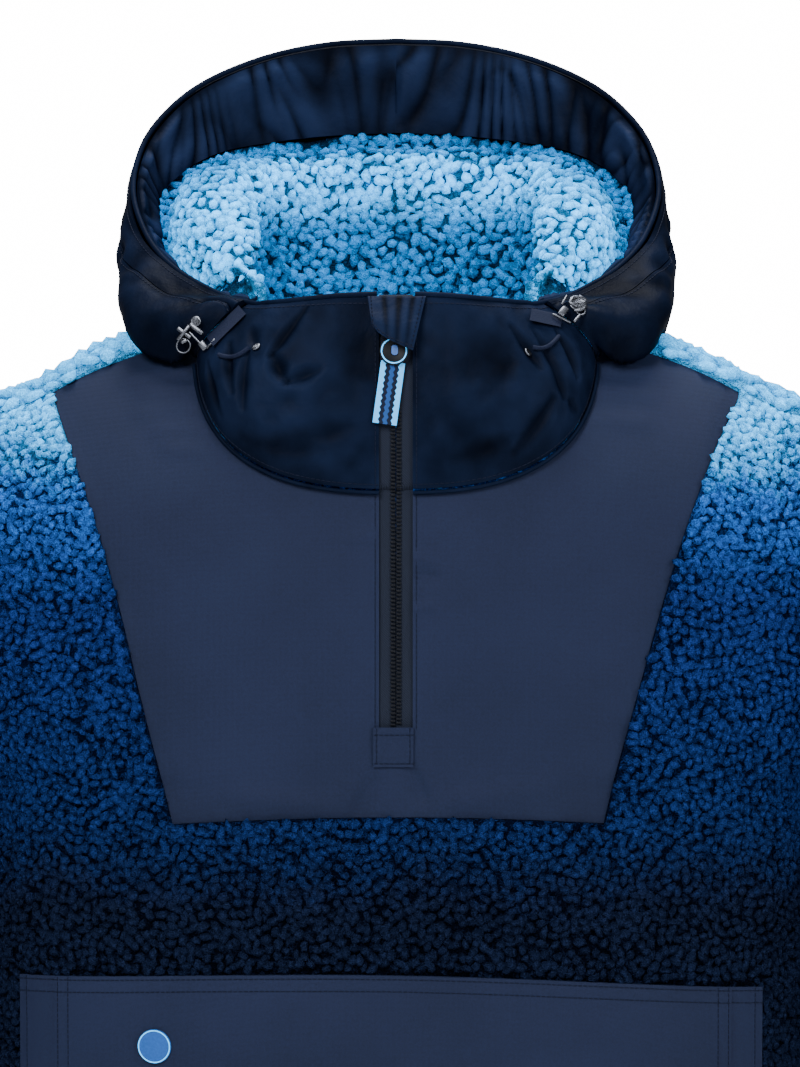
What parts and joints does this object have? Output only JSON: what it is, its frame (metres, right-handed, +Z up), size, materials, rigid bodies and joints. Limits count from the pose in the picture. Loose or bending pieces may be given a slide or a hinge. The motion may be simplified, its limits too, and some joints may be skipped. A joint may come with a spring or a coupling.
{
  "type": "fleece pullover",
  "caption": "Pile fleece pullover with a woven yoke, a half zip, a kangaroo pocket and a padded hood that lies open on the back, hollow as when it is worn.",
  "frame": {"origin": "between the shoulders, level with the sides of the neck seam", "axes": "+Z up, the front faces -Y, +X to the viewer's right"},
  "size_m": [0.8072, 0.3473, 0.873],
  "materials": {
    "fleece": "deep pile fleece, shaded from light blue at the shoulders to near black navy at the hem",
    "lining_fleece": "deep pile fleece, light blue",
    "woven_navy": "matte woven",
    "padded_navy": "smooth woven with a soft shine, padded",
    "zip_tape": "woven tape",
    "gunmetal": "dark metal",
    "pull_rubber": "matte",
    "ribbon": "striped ribbon",
    "webbing": "flat webbing and round elastic",
    "badge": "plain disc"
  },
  "bodies": {
    "garment": {"adjuster_cord_left": "webbing", "adjuster_cord_right": "webbing", "adjuster_left": "gunmetal", "adjuster_right": "gunmetal", "body_back": "fleece", "body_front": "fleece", "collar_left": "padded_navy", "collar_right": "padded_navy", "eyelet_left": "gunmetal", "eyelet_right": "gunmetal", "hood_band_left": "padded_navy", "hood_band_right": "padded_navy", "hood_facing_left": "padded_navy", "hood_facing_right": "padded_navy", "hood_lining": "lining_fleece", "hood_side_left": "padded_navy", "hood_side_right": "padded_navy", "neck_piping_left": "padded_navy", "neck_piping_right": "padded_navy", "pocket_badge": "badge", "pocket_front": "woven_navy", "pocket_side_left": "woven_navy", "pocket_side_right": "woven_navy", "rim_piping": "padded_navy", "sleeve_left": "fleece", "sleeve_right": "fleece", "tab_left": "webbing", "tab_right": "webbing", "yoke": "woven_navy", "zip_end_patch": "woven_navy", "zip_flap": "padded_navy", "zip_slider": "gunmetal", "zip_tape_left": "zip_tape", "zip_tape_right": "zip_tape"},
    "pull": {"pull_disc": "pull_rubber", "pull_ribbon": "ribbon"}
  },
  "joints": [
    {"name": "pull_swing", "type": "hinge", "parent": "garment", "child": "pull", "pos_m": [-0.0011, -0.10264, 0.0095], "axis": [-1, 0, 0], "range_deg": [0, 24]}
  ]
}
